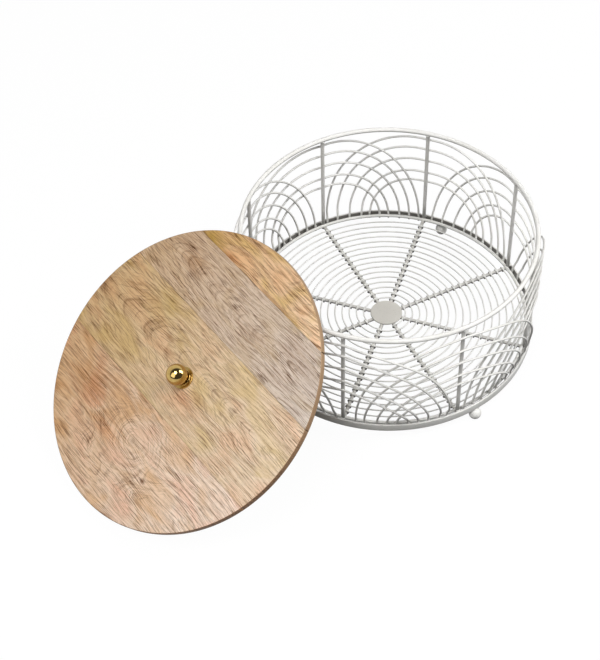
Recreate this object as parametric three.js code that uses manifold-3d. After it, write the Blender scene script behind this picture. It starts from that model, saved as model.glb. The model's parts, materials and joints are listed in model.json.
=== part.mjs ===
// Round wire basket with its wooden lid taken off and leaning against it.
// Millimetres, +Z up. Azimuths are in degrees from +Y towards +X, as seen from above.

import * as THREE from "three";
import { mergeVertices } from "three/addons/utils/BufferGeometryUtils.js";
import Module from "manifold-3d";

const wasm = await Module();
wasm.setup();

// Clearances
const WELD_GAP = 0.3;
const WELD_BITE = 0.35;
const LAYER_GAP = 0.2;
const GLUE_GAP = 0.25;
const LID_CLEARANCE = 2;

// Wires and rods
const RIM_ROD = 4.8;
const POST_ROD = 4;
const ARCH_WIRE = 2;
const RING_ROD = 3.2;
const SPOKE_ROD = 3;
const SPIRAL_WIRE = 1.6;

// Top rim
const RIM_RADIUS = 150;
const RIM_HEIGHT = 144.4;

// Feet
const FOOT_COUNT = 3;
const FOOT_RADIUS = 6.4;
const FOOT_FLAT_RADIUS = 2.4;
const FOOT_FIRST_AZIMUTH = 27;

// Flat band around the base
const BAND_THICKNESS = 2;
const BAND_HEIGHT = 8.5;

// Wall of posts and scalloped arches. Spans before and after an arch's own post are shares of
// the step between posts
const POST_COUNT = 8;
const POST_FIRST_AZIMUTH = 19.85;
const ARCH_DROPS_BELOW_RIM = [10.8, 25.3, 41.5, 58.8, 72];
const ARCH_SPANS_BEFORE = [0.935, 0.832, 0.714, 0.6, 0.522];
const ARCH_SPANS_AFTER = [0.93, 0.838, 0.745, 0.641, 0.558];
const ARCH_ROUNDNESS = 2.1;
const BAY_BOW = 2.6;
const BAY_BOW_HEIGHT = 55;
const LAP_BOW = 10;
const LAP_BOW_HEIGHT = 76;
const LAP_BOW_SPREAD = 1.3;
const LEG_BLEND_HEIGHT = 14;
const LEG_END_RISE = 1.2;

// Base grid: ring, spokes, disc and the wire wound over the spokes
const BASE_RISE = 4.4;
const SPOKE_INNER_RADIUS = 9;
const DISC_RADIUS = 16.8;
const DISC_THICKNESS = 1.4;
const DISC_EASING = 0.5;
const SPIRAL_PITCH = 7.66;
const SPIRAL_FIRST_SPOKE = 1;
const CROSSING_FLAT = 2.4;

// Lid board and its pose
const LID_OVERHANG = 0.9;
const LID_EDGE_THICKNESS = 8;
const LID_LIP_DEPTH = 5;
const LID_EASING = 0.8;
const UPPER_PLANK_WIDTHS = [37.9, 61.5, 94.2];
const LID_REST_INSET = 38.7;
const LID_HEADING = 235.3;

// Knob, its collar and its fastening
const KNOB_RADIUS = 10.7;
const KNOB_NECK_RADIUS = 5.6;
const KNOB_NECK_LENGTH = 0.4;
const KNOB_BORE_DEPTH = 9;
const COLLAR_RADIUS = 10;
const COLLAR_THICKNESS = 1.6;
const COLLAR_STEP_RADIUS = 7.4;
const COLLAR_STEP_THICKNESS = 0.9;
const SCREW_RADIUS = 2.5;
const SCREW_HEAD_RADIUS = 4.6;
const SCREW_HEAD_THICKNESS = 2.8;
const SCREW_THREAD_DEPTH = 8;
const WASHER_RADIUS = 7.5;
const WASHER_THICKNESS = 1.2;

// Mesh fineness
const RIM_STEPS = 56;
const RING_STEPS = 56;
const ARCH_STEPS = 7;
const LEG_STEPS = [0, 0.5, 1];
const SPIRAL_SAG = 1.2;
const LATHE_STEPS = 20;
const LID_STEPS = 64;

// Levels and radii that follow from the driving sizes
const footCentre = Math.sqrt(FOOT_RADIUS ** 2 - FOOT_FLAT_RADIUS ** 2);
const bandBottom = footCentre + FOOT_RADIUS + WELD_GAP;
const bandTop = bandBottom + BAND_HEIGHT;
const bandInner = RIM_RADIUS + POST_ROD / 2 + WELD_GAP;
const bandMiddle = bandInner + BAND_THICKNESS / 2;
const bandOuter = bandInner + BAND_THICKNESS;
const ringRadius = RIM_RADIUS - POST_ROD / 2 - WELD_GAP - RING_ROD / 2;
const outerLegRadius = bandInner - WELD_GAP - ARCH_WIRE / 2;
const innerLegRadius = ringRadius + RING_ROD / 2 + WELD_GAP + ARCH_WIRE / 2;
const archRadius = RIM_RADIUS + POST_ROD / 2 + ARCH_WIRE / 2 - WELD_BITE;
const layerStep = ARCH_WIRE + LAYER_GAP;
const postStep = 360 / POST_COUNT;
const legEnd = bandBottom + LEG_END_RISE;
const baseLevel = bandBottom + BASE_RISE;
const spokeTop = baseLevel + SPOKE_ROD / 2;
const crossingLevel = spokeTop + WELD_GAP + SPIRAL_WIRE / 2;
const crossingReach = SPOKE_ROD + SPIRAL_WIRE;
const ringInner = (ringRadius - RING_ROD / 2) * Math.cos(Math.PI / RING_STEPS);
const spokeOuterRadius = ringInner - WELD_GAP;
const spiralOuterRadius = spokeOuterRadius - SPIRAL_WIRE / 2;
const spiralInnerRadius = DISC_RADIUS + SPIRAL_WIRE;

// Finishes, from the photograph
const FINISHES = {
  wire: { color: 0xd9d7cf, roughness: 0.42, metalness: 0.25 },
  disc: { color: 0xc5c2bb, roughness: 0.5, metalness: 0.25 },
  brass: { color: 0xc9a04e, roughness: 0.14, metalness: 1 },
  steel: { color: 0xa9a9a6, roughness: 0.35, metalness: 1 },
};
const PLANK_COLOURS = [0xc9a06f, 0xb09a86, 0xc4a67c, 0xcfa888];

const basket = new THREE.Group();
const lid = new THREE.Group();

function finish(name) {
  return new THREE.MeshStandardMaterial(FINISHES[name]);
}

function add(group, name, geometry, material) {
  const mesh = new THREE.Mesh(geometry, material);
  mesh.name = name;
  group.add(mesh);
  return mesh;
}

function radians(degrees) {
  return THREE.MathUtils.degToRad(degrees);
}

// Point at an azimuth, a distance from the basket's axis and a height
function around(azimuth, radius, height) {
  const angle = radians(azimuth);
  return new THREE.Vector3(radius * Math.sin(angle), radius * Math.cos(angle), height);
}

function upward() {
  return new THREE.Vector3(0, 0, 1);
}

function outward(point) {
  return new THREE.Vector3(point.x, point.y, 0).normalize();
}

function smooth(share) {
  return THREE.MathUtils.smoothstep(share, 0, 1);
}

// Closed tube along a list of centres. Each section is a polygon with the wire's own area, and
// lies square to the path with one flat side towards the reference direction.
function wire(centres, diameter, sides, reference, closed = false) {
  const count = centres.length;
  const section = (2 * Math.PI) / (sides * Math.sin((2 * Math.PI) / sides));
  const radius = (diameter / 2) * Math.sqrt(section);
  const positions = [];
  const indices = [];
  for (let i = 0; i < count; i++) {
    const before = centres[closed ? (i + count - 1) % count : Math.max(i - 1, 0)];
    const after = centres[closed ? (i + 1) % count : Math.min(i + 1, count - 1)];
    const along = new THREE.Vector3().subVectors(after, before).normalize();
    const normal = reference(centres[i]).clone();
    normal.addScaledVector(along, -normal.dot(along)).normalize();
    const across = new THREE.Vector3().crossVectors(along, normal);
    for (let side = 0; side < sides; side++) {
      const angle = ((side + 0.5) * 2 * Math.PI) / sides;
      const corner = centres[i].clone();
      corner.addScaledVector(normal, radius * Math.cos(angle));
      corner.addScaledVector(across, radius * Math.sin(angle));
      positions.push(corner.x, corner.y, corner.z);
    }
  }
  const spans = closed ? count : count - 1;
  for (let i = 0; i < spans; i++) {
    for (let side = 0; side < sides; side++) {
      const a = i * sides + side;
      const b = i * sides + ((side + 1) % sides);
      const c = ((i + 1) % count) * sides + side;
      const d = ((i + 1) % count) * sides + ((side + 1) % sides);
      indices.push(a, b, d, a, d, c);
    }
  }
  if (!closed) {
    const last = (count - 1) * sides;
    for (let side = 1; side < sides - 1; side++) {
      indices.push(0, side + 1, side);
      indices.push(last, last + side, last + side + 1);
    }
  }
  const geometry = new THREE.BufferGeometry();
  geometry.setAttribute("position", new THREE.Float32BufferAttribute(positions, 3));
  geometry.setIndex(indices);
  geometry.computeVertexNormals();
  return geometry;
}

// Ring wire around the basket's axis
function ringWire(radius, height, diameter, sides, steps) {
  const centres = [];
  for (let i = 0; i < steps; i++) {
    centres.push(around((-360 * i) / steps, radius, height));
  }
  return wire(centres, diameter, sides, upward, true);
}

// Solid of revolution about Z, from a profile of radius and height pairs
function turned(profile, steps = LATHE_STEPS) {
  const points = profile.map(([radius, height]) => new THREE.Vector2(radius, height));
  const geometry = new THREE.LatheGeometry(points, steps);
  geometry.rotateX(Math.PI / 2);
  return geometry;
}

function toManifold(geometry) {
  const bare = geometry.clone();
  bare.deleteAttribute("normal");
  if (bare.getAttribute("uv")) bare.deleteAttribute("uv");
  const merged = mergeVertices(bare, 1e-4);
  const mesh = new wasm.Mesh({
    numProp: 3,
    vertProperties: new Float32Array(merged.getAttribute("position").array),
    triVerts: new Uint32Array(merged.getIndex().array),
  });
  return new wasm.Manifold(mesh);
}

function toGeometry(solid) {
  const mesh = solid.getMesh();
  const geometry = new THREE.BufferGeometry();
  geometry.setAttribute("position", new THREE.Float32BufferAttribute(mesh.vertProperties, 3));
  geometry.setIndex(new THREE.Uint32BufferAttribute(mesh.triVerts, 1));
  geometry.computeVertexNormals();
  return geometry;
}

// Top rim: one round rod bent to a ring
function addRim() {
  const geometry = ringWire(RIM_RADIUS, RIM_HEIGHT, RIM_ROD, 8, RIM_STEPS);
  add(basket, "top_rim", geometry, finish("wire"));
}

// Flat strip rolled on edge around the base, and the ring inside the arch legs
function addBase() {
  const strip = [
    [bandInner, bandBottom],
    [bandOuter, bandBottom],
    [bandOuter, bandTop],
    [bandInner, bandTop],
    [bandInner, bandBottom],
  ];
  add(basket, "base_band", turned(strip, RIM_STEPS), finish("wire"));
  const ring = ringWire(ringRadius, baseLevel, RING_ROD, 6, RING_STEPS);
  add(basket, "base_ring", ring, finish("wire"));
}

// Rise of an arch's crown over the ends of its legs
function archRise(arch) {
  return RIM_HEIGHT - ARCH_DROPS_BELOW_RIM[arch] - legEnd;
}

// Height of an arch at a share of its half-span
function archHeight(arch, share) {
  const round = (1 - Math.abs(share) ** ARCH_ROUNDNESS) ** (1 / ARCH_ROUNDNESS);
  return legEnd + archRise(arch) * round;
}

// How far a half-arch stands off the wall of welded crowns. The whole wall swells a little in
// each bay. The half after its post dips in behind the next fan, and the half before its post
// laps over the last fan and bows outwards.
function archLap(bay, height) {
  const reach = Math.abs(bay);
  const rise = height - bandTop;
  const swell = BAY_BOW * 4 * reach * (1 - reach) * smooth(rise / BAY_BOW_HEIGHT);
  if (bay > 0) {
    return swell - layerStep * reach ** 2;
  }
  const bow = LAP_BOW * smooth(reach / LAP_BOW_SPREAD) * smooth(rise / LAP_BOW_HEIGHT);
  return swell + layerStep * (1 - (1 - reach) ** 2) + bow;
}

// Distance of an arch wire from the axis. Both halves run down between the ring and the band
function archDistance(bay, height) {
  const wall = archRadius + archLap(bay, height);
  const leg = bay > 0 ? innerLegRadius : outerLegRadius;
  const rise = height - bandTop - WELD_GAP;
  return THREE.MathUtils.lerp(leg, wall, smooth(rise / LEG_BLEND_HEIGHT));
}

// Shares of the half-span at which an arch is drawn, from its foot to its crown: the levels
// that shape the leg above the band, then even steps of arc
function archShares(arch) {
  const shares = [1];
  for (const step of LEG_STEPS) {
    const level = (bandTop + WELD_GAP + step * LEG_BLEND_HEIGHT - legEnd) / archRise(arch);
    shares.push((1 - level ** ARCH_ROUNDNESS) ** (1 / ARCH_ROUNDNESS));
  }
  const start = Math.acos(shares[shares.length - 1]);
  for (let i = 1; i <= ARCH_STEPS; i++) {
    shares.push(Math.cos(THREE.MathUtils.lerp(start, Math.PI / 2, i / ARCH_STEPS)));
  }
  shares[shares.length - 1] = 0;
  return shares;
}

function archCentres(azimuth, arch) {
  const rising = archShares(arch).map((share) => -share);
  const falling = rising.slice(0, -1).map((share) => -share);
  const shares = [...rising, ...falling.reverse()];
  return shares.map((share) => {
    const bay = share * (share > 0 ? ARCH_SPANS_AFTER : ARCH_SPANS_BEFORE)[arch];
    const height = archHeight(arch, share);
    return around(azimuth + bay * postStep, archDistance(bay, height), height);
  });
}

// One fan: an upright post with its five nested arches welded across its outside
function addFan(number) {
  const azimuth = POST_FIRST_AZIMUTH + postStep * number;
  const top = RIM_HEIGHT - RIM_ROD / 2 - WELD_GAP;
  const ends = [around(azimuth, RIM_RADIUS, top), around(azimuth, RIM_RADIUS, bandBottom)];
  let fan = toManifold(wire(ends, POST_ROD, 6, outward));
  for (let arch = 0; arch < ARCH_DROPS_BELOW_RIM.length; arch++) {
    fan = fan.add(toManifold(wire(archCentres(azimuth, arch), ARCH_WIRE, 4, outward)));
  }
  add(basket, `wall_fan_${number + 1}`, toGeometry(fan), finish("wire"));
}

// Spokes of the base, one below each post
function addSpoke(number) {
  const azimuth = POST_FIRST_AZIMUTH + postStep * number;
  const ends = [
    around(azimuth, SPOKE_INNER_RADIUS, baseLevel),
    around(azimuth, spokeOuterRadius, baseLevel),
  ];
  const geometry = wire(ends, SPOKE_ROD, 6, upward);
  add(basket, `base_spoke_${number + 1}`, geometry, finish("wire"));
}

// Disc that covers the inner ends of the spokes
function addDisc() {
  const underside = spokeTop + WELD_GAP;
  const face = underside + DISC_THICKNESS;
  const profile = [
    [0, underside],
    [DISC_RADIUS, underside],
    [DISC_RADIUS, face - DISC_EASING],
    [DISC_RADIUS - DISC_EASING, face],
    [0, face],
  ];
  add(basket, "base_disc", turned(profile), finish("disc"));
}

// Points between two spokes, as shares of the bay, close enough for a chord to stay on the turn
function bayShares(radius, bay) {
  const chord = 2 * Math.acos(1 - SPIRAL_SAG / radius);
  const spans = Math.max(2, Math.ceil((bay - (2 * crossingReach) / radius) / chord));
  return Array.from({ length: spans - 1 }, (_, i) => (i + 1) / spans);
}

// Base wire: one length wound inwards in a flat spiral at the spokes' own level, from spoke to
// spoke, which steps up over each spoke that it crosses
function spiralCentres() {
  const bay = radians(postStep);
  const fall = SPIRAL_PITCH / POST_COUNT;
  const first = POST_FIRST_AZIMUTH + postStep * SPIRAL_FIRST_SPOKE;
  const bays = Math.floor((spiralOuterRadius - spiralInnerRadius) / fall);
  const centres = [];
  const push = (bayCount, height) => {
    const radius = spiralOuterRadius - fall * bayCount;
    centres.push(around(first + postStep * bayCount, radius, height));
  };
  for (let spoke = 0; spoke <= bays; spoke++) {
    const radius = spiralOuterRadius - fall * spoke;
    const top = CROSSING_FLAT / 2 / (radius * bay);
    const foot = crossingReach / (radius * bay);
    if (spoke > 0) {
      push(spoke - foot, baseLevel);
    }
    push(spoke - top, crossingLevel);
    push(spoke + top, crossingLevel);
    if (spoke < bays) {
      push(spoke + foot, baseLevel);
      for (const share of bayShares(radius, bay)) {
        push(spoke + foot + share * (1 - 2 * foot), baseLevel);
      }
    }
  }
  return centres;
}

// Least clear distance between neighbouring turns, measured on the wire's points
function spiralGap(centres) {
  const halfTurn = (POST_COUNT / 2) * 4;
  let least = Infinity;
  for (let i = 0; i < centres.length; i++) {
    for (let j = i + halfTurn; j < centres.length; j++) {
      least = Math.min(least, centres[i].distanceTo(centres[j]) - SPIRAL_WIRE);
    }
  }
  return least;
}

function addSpiral() {
  const centres = spiralCentres();
  console.log("least gap between turns of base_spiral, mm:", spiralGap(centres).toFixed(2));
  add(basket, "base_spiral", wire(centres, SPIRAL_WIRE, 4, upward), finish("wire"));
}

// Ball feet under the band, each with a small flat to stand on
function addFoot(number) {
  const azimuth = FOOT_FIRST_AZIMUTH + (360 / FOOT_COUNT) * number;
  const profile = [[0, -footCentre]];
  const start = Math.asin(-footCentre / FOOT_RADIUS);
  const arcs = 8;
  for (let i = 0; i < arcs; i++) {
    const angle = THREE.MathUtils.lerp(start, Math.PI / 2, i / arcs);
    profile.push([FOOT_RADIUS * Math.cos(angle), FOOT_RADIUS * Math.sin(angle)]);
  }
  profile.push([0, FOOT_RADIUS]);
  const foot = add(basket, `foot_${number + 1}`, turned(profile, 16), finish("wire"));
  foot.position.copy(around(azimuth, bandMiddle, footCentre));
}

// Lid frame: the middle of the board's top face is the origin, and its planks lie along X
const lidRadius = RIM_RADIUS + RIM_ROD / 2 + LID_OVERHANG;
const lidThickness = LID_EDGE_THICKNESS + LID_LIP_DEPTH;
const lipRadius = RIM_RADIUS - RIM_ROD / 2 - LID_CLEARANCE;
const screwBore = SCREW_RADIUS + WELD_GAP;

// Whole board as one turned solid: full width on the rim, stepped to drop inside it
function boardBlank() {
  const under = -LID_EDGE_THICKNESS;
  return toManifold(
    turned(
      [
        [0, -lidThickness],
        [lipRadius, -lidThickness],
        [lipRadius, under],
        [lidRadius - LID_EASING, under],
        [lidRadius, under + LID_EASING],
        [lidRadius, -LID_EASING],
        [lidRadius - LID_EASING, 0],
        [0, 0],
      ],
      LID_STEPS,
    ),
  );
}

// Strip of the board between two seams
function plankStrip(low, high) {
  const block = new THREE.BoxGeometry(4 * lidRadius, high - low, 4 * lidThickness);
  block.translate(0, (low + high) / 2, 0);
  return toManifold(block);
}

function addPlanks() {
  const edges = [2 * lidRadius];
  let seam = lidRadius;
  for (const width of UPPER_PLANK_WIDTHS) {
    seam -= width;
    edges.push(seam);
  }
  edges.push(-2 * lidRadius);
  const blank = boardBlank();
  const bore = new THREE.CylinderGeometry(screwBore, screwBore, 4 * lidThickness, LATHE_STEPS);
  bore.rotateX(Math.PI / 2);
  const bored = blank.subtract(toManifold(bore));
  for (let i = 0; i + 1 < edges.length; i++) {
    const strip = plankStrip(edges[i + 1] + GLUE_GAP / 2, edges[i] - GLUE_GAP / 2);
    const material = new THREE.MeshStandardMaterial({
      color: PLANK_COLOURS[i],
      roughness: 0.6,
      metalness: 0,
    });
    add(lid, `lid_plank_${i + 1}`, toGeometry(bored.intersect(strip)), material);
  }
}

// Brass knob on a stepped collar, held by a screw and washer from below the board
function addKnob() {
  const collarTop = WELD_GAP + COLLAR_THICKNESS + COLLAR_STEP_THICKNESS;
  const flangeTop = WELD_GAP + COLLAR_THICKNESS;
  const collar = turned([
    [screwBore, WELD_GAP],
    [COLLAR_RADIUS, WELD_GAP],
    [COLLAR_RADIUS, flangeTop],
    [COLLAR_STEP_RADIUS, flangeTop],
    [COLLAR_STEP_RADIUS, collarTop],
    [screwBore, collarTop],
    [screwBore, WELD_GAP],
  ]);
  add(lid, "knob_collar", collar, finish("brass"));

  const neckBottom = collarTop + WELD_GAP;
  const ballBottom = Math.asin(-Math.sqrt(1 - (KNOB_NECK_RADIUS / KNOB_RADIUS) ** 2));
  const ballCentre = neckBottom + KNOB_NECK_LENGTH - KNOB_RADIUS * Math.sin(ballBottom);
  const boreTop = neckBottom + KNOB_BORE_DEPTH;
  const profile = [
    [0, boreTop],
    [screwBore, boreTop],
    [screwBore, neckBottom],
    [KNOB_NECK_RADIUS, neckBottom],
  ];
  const arcs = 12;
  for (let i = 0; i < arcs; i++) {
    const angle = THREE.MathUtils.lerp(ballBottom, Math.PI / 2, i / arcs);
    profile.push([KNOB_RADIUS * Math.cos(angle), ballCentre + KNOB_RADIUS * Math.sin(angle)]);
  }
  profile.push([0, ballCentre + KNOB_RADIUS]);
  add(lid, "knob_ball", turned(profile), finish("brass"));

  const washerTop = -lidThickness - WELD_GAP;
  const washerBottom = washerTop - WASHER_THICKNESS;
  const washer = turned([
    [screwBore, washerBottom],
    [WASHER_RADIUS, washerBottom],
    [WASHER_RADIUS, washerTop],
    [screwBore, washerTop],
    [screwBore, washerBottom],
  ]);
  add(lid, "knob_washer", washer, finish("steel"));

  const headTop = washerBottom - WELD_GAP;
  const screw = turned([
    [0, headTop - SCREW_HEAD_THICKNESS],
    [SCREW_HEAD_RADIUS - 0.8, headTop - SCREW_HEAD_THICKNESS],
    [SCREW_HEAD_RADIUS, headTop - SCREW_HEAD_THICKNESS / 2],
    [SCREW_HEAD_RADIUS, headTop],
    [SCREW_RADIUS, headTop],
    [SCREW_RADIUS, neckBottom + SCREW_THREAD_DEPTH],
    [0, neckBottom + SCREW_THREAD_DEPTH],
  ]);
  add(lid, "knob_screw", screw, finish("steel"));
}

// Slope of the leaning lid in radians: its lower edge is on the ground, and the rim touches its
// underside at the inset from its upper edge
function leanAngle() {
  const span = lipRadius + lidRadius - LID_REST_INSET;
  const offset = RIM_ROD / 2 + WELD_GAP;
  return Math.asin(RIM_HEIGHT / Math.hypot(span, offset)) + Math.atan2(offset, span);
}

// Lean the lid: its lower edge on the ground, its underside on the outside of the rim
function leanLid() {
  const sine = Math.sin(leanAngle());
  const cosine = Math.cos(leanAngle());
  const boardDrop = (lidRadius - LID_EASING) * sine + LID_EDGE_THICKNESS * cosine;
  const bevelDrop = lidRadius * sine + (LID_EDGE_THICKNESS - LID_EASING) * cosine;
  const lipDrop = lipRadius * sine + lidThickness * cosine;
  const height = Math.max(boardDrop, bevelDrop, lipDrop);
  const rimReach = RIM_RADIUS * sine + RIM_HEIGHT * cosine + RIM_ROD / 2 + WELD_GAP;
  const distance = (rimReach + lidThickness - height * cosine) / sine;
  const away = around(LID_HEADING, 1, 0);
  const normal = away.clone().multiplyScalar(sine).add(new THREE.Vector3(0, 0, cosine));
  const uphill = away.clone().multiplyScalar(-cosine).add(new THREE.Vector3(0, 0, sine));
  const sideways = new THREE.Vector3().crossVectors(uphill, normal);
  const pose = new THREE.Matrix4().makeBasis(sideways, uphill, normal);
  lid.quaternion.setFromRotationMatrix(pose);
  lid.position.copy(around(LID_HEADING, distance, height));
}

addRim();
addBase();
for (let i = 0; i < POST_COUNT; i++) {
  addFan(i);
  addSpoke(i);
}
addDisc();
addSpiral();
for (let i = 0; i < FOOT_COUNT; i++) {
  addFoot(i);
}
addPlanks();
addKnob();
leanLid();

// Put the origin on the ground, in the middle of the footprint of basket and lid
const part = new THREE.Group();
part.add(basket, lid);
part.updateMatrixWorld(true);
const bounds = new THREE.Box3().setFromObject(part, true);
const middle = bounds.getCenter(new THREE.Vector3());
for (const group of [basket, lid]) {
  group.position.x -= middle.x;
  group.position.y -= middle.y;
  group.position.z -= bounds.min.z;
}

export default part;
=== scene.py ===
"""Looks of the round wire basket with its wooden lid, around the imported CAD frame.

Lengths are in millimetres and become metres when a mesh is made, except for the floor and the
lamps, which are given in metres. Azimuths are in degrees from +Y towards +X, as seen from above.
"""

import json
import math

import bmesh
import bpy
from mathutils import Matrix, Vector, noise


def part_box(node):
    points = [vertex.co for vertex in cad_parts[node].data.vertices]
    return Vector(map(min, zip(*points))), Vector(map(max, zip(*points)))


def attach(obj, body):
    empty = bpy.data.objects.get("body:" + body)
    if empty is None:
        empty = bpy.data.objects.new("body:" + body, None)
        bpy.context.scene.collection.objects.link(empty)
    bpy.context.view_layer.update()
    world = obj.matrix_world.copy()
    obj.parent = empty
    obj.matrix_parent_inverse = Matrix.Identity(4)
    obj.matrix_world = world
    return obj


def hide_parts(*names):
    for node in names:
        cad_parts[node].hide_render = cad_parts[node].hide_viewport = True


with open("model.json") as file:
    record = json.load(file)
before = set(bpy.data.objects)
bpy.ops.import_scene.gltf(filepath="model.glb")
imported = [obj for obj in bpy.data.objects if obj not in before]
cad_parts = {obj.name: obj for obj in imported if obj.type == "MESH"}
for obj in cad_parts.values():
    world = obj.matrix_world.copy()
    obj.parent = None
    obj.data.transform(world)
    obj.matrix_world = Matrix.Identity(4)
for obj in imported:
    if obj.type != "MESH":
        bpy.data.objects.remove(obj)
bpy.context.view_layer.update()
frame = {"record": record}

MM = 0.001
UP = Vector((0, 0, 1))

# Basket. A rod's, wire's or ball's radius is its own, and the others run from the basket's axis
RIM_RADIUS = 150.0
RIM_ROD = 2.4
RIM_HEIGHT = 144.4
POST_ROD = 2.0
ARCH_WIRE = 1.12
RING_ROD = 1.7
SPOKE_ROD = 1.8
SPIRAL_WIRE = 0.72
POSTS = 8
STEP = 360.0 / POSTS
FIRST_POST = 19.85
POST_TURNS = [-0.4, 0.0, 0.2, -0.2, 0.2, 0.0, -0.2, 0.4]
ARCH_RADIUS = 152.65
LEG_BLEND_HEIGHT = 14.0
LEG_END = 13.4
OUTER_LEG = 151.1
INNER_LEG = 150.4
BAND_INNER = 152.0
BAND_OUTER = 154.3
BAND_BOTTOM = 12.633
BAND_TOP = 21.133
BAND_EASING = 0.55
BASE_LEVEL = 17.033
RING_RADIUS = 147.8
RING_LEVEL = 18.3
SPOKE_INNER = 9.0
SPOKE_SHORT_OF_RING = 0.6
DISC_RADIUS = 16.8
DISC_UNDER = 18.4
DISC_FACE = 20.233
DISC_EASING = 0.7
DISC_FACE_RINGS = [0.45, 0.9]
SPIRAL_OUTER = 143.17
SPIRAL_PITCH = 7.66
SPIRAL_FIRST_POST = 1
SPIRAL_BAYS = 130
FOOT_RADIUS = 6.4
FOOT_CENTRE = 5.933
FOOT_DISTANCE = 153.3
FOOT_AZIMUTHS = [27.0, 147.0, 267.0]
HOOP_STEPS = 240

# The ball of a foot ends at this angle above its middle, where the profile of its stem starts
FOOT_BALL_END = 66
FOOT_STEM = [(2.1, 12.15), (1.9, 12.6), (1.7, 13.2), (0, 13.2)]

# The post's upper end widens into its weld: distance below the end, and share of the thickness
POST_FLARE = [(2.4, 1.02), (1.2, 1.12), (0, 1.32)]
POST_IN_RIM = 0.5

# Base wire: how it is wound round a spoke, and how it hangs between two of them
WRAP_BITE = 0.05
WRAP_SPREAD = 1.04
WRAP_STEPS = 20
BAY_SAG = 0.5
BAY_STEPS = 14

# Arches. Drops are below the rim, and spans are shares of the bay between two posts
ARCH_DROPS = [10.8, 25.3, 41.5, 58.8, 72.0]
SPANS_BEFORE = [0.935, 0.832, 0.714, 0.6, 0.522]
SPANS_AFTER = [0.93, 0.838, 0.745, 0.641, 0.558]
ROUNDNESS = 2.1

# The two fans in front sit a little lower and wider than the others
EXTRA_DROPS = {3: [0.5, 5.0, 6.1, 7.4, 7.6], 4: [0.3, 1.5, 4.3, 5.5, 6.1]}
FRONT_SPANS_BEFORE = [0.903, 0.838, 0.736, 0.648, 0.565]
FRONT_SPANS_AFTER = [0.898, 0.826, 0.717, 0.633, 0.552]
FRONT_TOP_ROUNDNESS = 2.31
ARCH_STEPS = 88
BISECTIONS = 30

# Weld beads: half their size outwards, along and across, and where they sit on their wires. The
# ends of an arch are -1 before its post and 1 after it
POST_TOP_WELD = (2.7, 3.0, 1.2)
POST_BAND_WELD = (1.2, 2.6, 1.5)
POST_RING_WELD = (1.1, 2.2, 1.3)
SPOKE_WELD = (1.3, 1.75, 1.9)
CROWN_WELD = (0.8, 0.95, 0.75)
CROWN_WELD_INWARDS = 1.15
CROWN_WELD_ASIDE = 1.25
LEG_WELD = (0.8, 1.3, 0.8)
LEG_WELD_OUTWARDS = {-1: 0.75, 1: -1.1}
LEG_WELD_BELOW = 0.4
CROSSING_WELD = (0.7, 0.95, 0.95)
CROSSING_GAP = 0.5

# How the wall bends in a bay: the swell of both layers, the height where it is full and its two
# skews, then the bow of the outer layer alone, the height where it is full and its spread
LAP_STEP = 2.1
PLAIN_BAY = (2.6, 55, 1, 1, 10, 76, 1.3)
BENT_BAYS = {
    1: (1.7, 55, 1, 1, 10.5, 76, 1.3),
    2: (1.54, 30, 3, 1.7, 6.5, 58, 1.0),
    3: (3.44, 30, 3, 1.7, 10.2, 39, 1.29),
}

# Lid, in its own frame: the middle of the board's top face, planks along X
LID_RADIUS = 153.3
LIP_RADIUS = 145.6
BOARD_UNDER = -8.0
LIP_UNDER = -13.0
BOARD_EASING = 0.8
UNDER_EASING = 2.4
LIP_EASING = 0.5
SEAMS = [115.4, 53.9, -40.3]
SEAM_GAP = 0.03
SEAM_EASING = 0.3
SEAM_EASING_START = 0.55
ARC_STEPS = 56
SEAM_STEPS = 24

# Knob, collar, washer and screw, which sit a little off the lid's middle
KNOB_OFFSET = (1.4, 1.2, 0)
COLLAR_RADIUS = 11.2
COLLAR_STEP_RADIUS = 8.6
COLLAR_TOP = 1.9
COLLAR_STEP_TOP = 2.8
COLLAR_EASING = 0.4
NECK_RADIUS = 5.6
NECK_FILLET = 0.5
KNOB_RADIUS = 10.7
KNOB_CENTRE = 12.62
WASHER_HOLE = 2.7
WASHER_RADIUS = 7.5
WASHER_UNDER = -14.5
WASHER_TOP = -13.05
WASHER_EASING = 0.25
SCREW_SHANK = [(0, 2.0), (2.5, 2.0), (2.5, -14.3)]
SCREW_HEAD_RADIUS = 4.6
SCREW_HEAD_TOP = -14.45
SCREW_HEAD_EDGE = -15.1
SCREW_HEAD_FLAT = 2.2
SCREW_DOME_WIDTH = 2.4
SCREW_DOME_DEPTH = 2.5
SCREW_SOCKET = [(1.9, -17.6), (1.6, -16.3), (0, -16.1)]

# Height of the CAD washer's middle, from which the lid is placed
WASHER_MIDDLE = -13.9


def node_middle(name):
    """The middle of a CAD node's box."""
    low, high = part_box(name)
    return (low + high) / 2 / MM


rim_middle = node_middle("top_rim")
basket_place = Matrix.Translation((rim_middle.x, rim_middle.y, 0))
normal = Vector(frame["record"]["behaviour"]["joints"][0]["axis"])
sideways = UP.cross(normal).normalized()
uphill = normal.cross(sideways)
lid_turn = Matrix((sideways, uphill, normal)).transposed()
lid_origin = node_middle("knob_washer") - normal * WASHER_MIDDLE
lid_pose = Matrix.Translation(lid_origin * MM) @ lid_turn.to_4x4()


def around(azimuth, distance, height):
    """A place at a distance from the basket's axis."""
    a = math.radians(azimuth)
    x = rim_middle.x + distance * math.sin(a)
    return Vector((x, rim_middle.y + distance * math.cos(a), height))


def outward(azimuth):
    return (around(azimuth, 1, 0) - around(azimuth, 0, 0)).normalized()


def mix(a, b, share):
    return a + (b - a) * share


def smooth(share):
    share = min(max(share, 0.0), 1.0)
    return share * share * (3 - 2 * share)


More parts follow.
